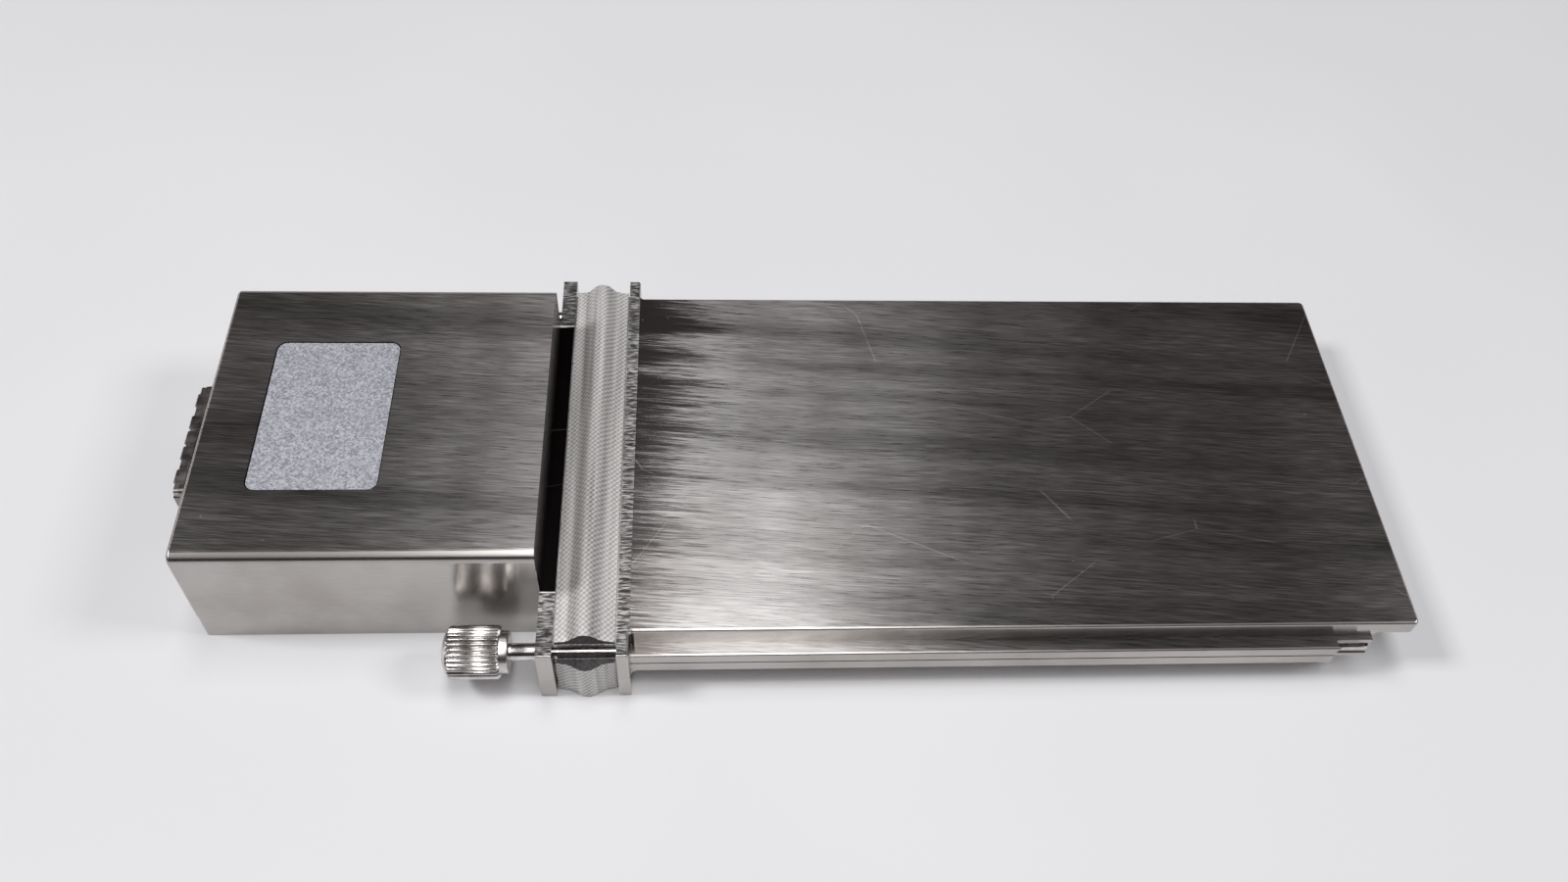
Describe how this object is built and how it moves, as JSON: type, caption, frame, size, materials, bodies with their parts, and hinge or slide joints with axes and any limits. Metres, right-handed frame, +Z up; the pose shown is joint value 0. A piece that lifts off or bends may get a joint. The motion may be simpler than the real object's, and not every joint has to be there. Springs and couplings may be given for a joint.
{
  "type": "optical transceiver module",
  "caption": "Pluggable optical transceiver module: flat metal body with side rails, gasketed flanges, captive jackscrews, a raised port box in front and a plug at the tail.",
  "frame": {"origin": "centre of the bounding box on the surface that the module stands on", "axes": "+X from the port to the tail, +Y to the far side, +Z up through the top plate"},
  "size_m": [0.2178, 0.0866, 0.0249],
  "materials": {
    "nickel_plated_case": "brushed",
    "gasket_fabric": "satin",
    "machined_steel": "satin",
    "spring_steel": "satin",
    "sheet_metal": "satin",
    "label_foil": "satin",
    "moulded_black": "matte",
    "board_green": "satin",
    "chip_black": "matte",
    "pad_grey": "matte",
    "ceramic_tan": "satin",
    "gold_contacts": "polished"
  },
  "bodies": {
    "module": {"upper_housing": "nickel_plated_case", "lower_housing": "nickel_plated_case", "upper_gasket": "gasket_fabric", "lower_gasket": "gasket_fabric", "shell_screws": "machined_steel", "label_plate": "label_foil", "port_cage": "sheet_metal", "port_emi_collar": "spring_steel", "port_receptacle": "moulded_black", "receptacle_contacts": "gold_contacts", "main_pcb": "board_green", "retimer_chips": "chip_black", "thermal_pads": "pad_grey", "controller_chip": "chip_black", "oscillator": "sheet_metal", "power_inductors": "chip_black", "capacitors": "ceramic_tan", "rear_plug_body": "moulded_black", "rear_plug_contacts": "gold_contacts", "rear_plug_shell": "sheet_metal"},
    "near_float": {"near_snap_ring": "spring_steel"},
    "near_screw": {"near_screw_knob": "machined_steel", "near_screw_rod": "machined_steel"},
    "far_float": {"far_snap_ring": "spring_steel"},
    "far_screw": {"far_screw_knob": "machined_steel", "far_screw_rod": "machined_steel"}
  },
  "joints": [
    {"name": "near_screw_travel", "type": "slide", "parent": "module", "child": "near_float", "axis": [1, 0, 0], "range_m": [0, 0.005]},
    {"name": "near_screw_turn", "type": "hinge", "parent": "near_float", "child": "near_screw", "pos_m": [-0.04425, -0.0385, 0.00755], "axis": [1, 0, 0], "continuous": true},
    {"name": "far_screw_travel", "type": "slide", "parent": "module", "child": "far_float", "axis": [1, 0, 0], "range_m": [0, 0.005]},
    {"name": "far_screw_turn", "type": "hinge", "parent": "far_float", "child": "far_screw", "pos_m": [-0.04425, 0.0385, 0.00755], "axis": [1, 0, 0], "continuous": true}
  ]
}
